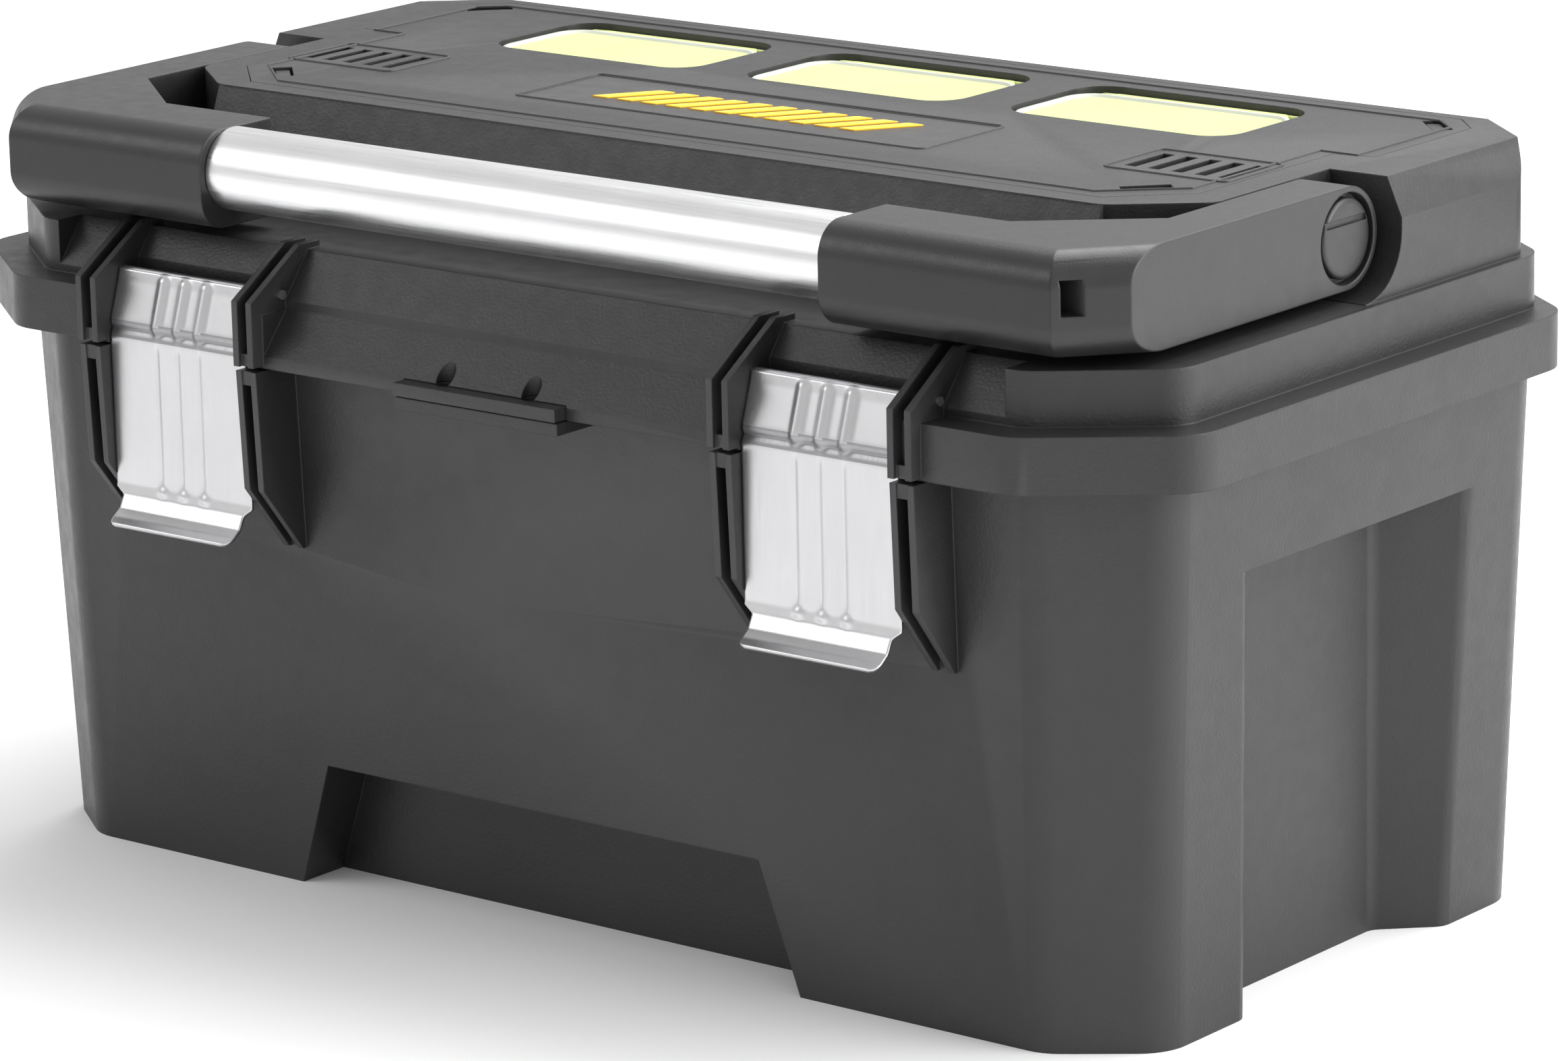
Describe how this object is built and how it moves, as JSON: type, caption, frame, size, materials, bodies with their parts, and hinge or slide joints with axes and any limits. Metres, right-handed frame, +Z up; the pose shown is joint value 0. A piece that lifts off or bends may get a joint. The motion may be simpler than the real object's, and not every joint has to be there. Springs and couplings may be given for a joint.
{
  "type": "toolbox with tray",
  "caption": "Moulded plastic toolbox with a fold-flat bail handle, metal draw latches, clear lid-top organiser covers and a lift-out tray.",
  "frame": {"origin": "on the floor under the middle of the closed box's bounding box", "axes": "+X along the length, +Y towards the hinge side, the latches face -Y, +Z up"},
  "size_m": [0.508, 0.2846, 0.2557],
  "materials": {
    "black_foam": "textured moulding, semi-gloss",
    "black_smooth": "satin",
    "latch_steel": "stamped and plated",
    "tube_alloy": "satin anodised",
    "pin_steel": "plain",
    "clear_cover": "translucent pale yellow-green",
    "pale_bin": "translucent pale yellow-green",
    "seal_rubber": "soft",
    "label_grey": "smooth plate",
    "tray_grey": "fine texture",
    "grip_amber": "satin"
  },
  "bodies": {
    "base": {"base_shell": "black_foam", "keeper_left": "latch_steel", "keeper_right": "latch_steel", "padlock_eye_base": "black_foam"},
    "lid": {"lid_shell": "black_foam", "top_panel": "black_foam", "label_plate": "label_grey", "panel_clips": "black_smooth", "rim_seal": "seal_rubber", "bin_left": "pale_bin", "bin_centre": "pale_bin", "bin_right": "pale_bin", "hinge_pin_left": "pin_steel", "hinge_pin_right": "pin_steel", "latch_pin_left": "pin_steel", "latch_pin_right": "pin_steel", "pivot_pin_left": "black_smooth", "pivot_pin_right": "black_smooth", "padlock_eye_lid": "black_foam"},
    "handle": {"handle_arm_left": "black_smooth", "handle_arm_right": "black_smooth", "handle_tube": "tube_alloy", "handle_screws": "pin_steel"},
    "latch_left": {"latch_plate_left": "latch_steel"},
    "latch_right": {"latch_plate_right": "latch_steel"},
    "cover_left": {"cover_left": "clear_cover"},
    "cover_centre": {"cover_centre": "clear_cover"},
    "cover_right": {"cover_right": "clear_cover"},
    "tray": {"tray": "tray_grey", "tray_handle": "grip_amber"}
  },
  "joints": [
    {"name": "lid_hinge", "type": "hinge", "parent": "base", "child": "lid", "pos_m": [0, 0.138, 0.183], "axis": [-1, 0, 0], "range_deg": [0, 98]},
    {"name": "handle_swing", "type": "hinge", "parent": "lid", "child": "handle", "pos_m": [0, 0.009, 0.23915], "axis": [-1, 0, 0], "range_deg": [0, 95]},
    {"name": "latch_left_swing", "type": "hinge", "parent": "lid", "child": "latch_left", "pos_m": [-0.1348, -0.124, 0.206], "axis": [-1, 0, 0], "range_deg": [0, 85]},
    {"name": "latch_right_swing", "type": "hinge", "parent": "lid", "child": "latch_right", "pos_m": [0.1348, -0.124, 0.206], "axis": [-1, 0, 0], "range_deg": [0, 85]},
    {"name": "cover_left_hinge", "type": "hinge", "parent": "lid", "child": "cover_left", "pos_m": [-0.1118, 0.1043, 0.25265], "axis": [-1, 0, 0], "range_deg": [0, 95]},
    {"name": "cover_centre_hinge", "type": "hinge", "parent": "lid", "child": "cover_centre", "pos_m": [0, 0.1043, 0.25265], "axis": [-1, 0, 0], "range_deg": [0, 95]},
    {"name": "cover_right_hinge", "type": "hinge", "parent": "lid", "child": "cover_right", "pos_m": [0.1118, 0.1043, 0.25265], "axis": [-1, 0, 0], "range_deg": [0, 95]},
    {"name": "tray_lift", "type": "slide", "parent": "base", "child": "tray", "axis": [0, 0, 1], "range_m": [0, 0.01]}
  ]
}
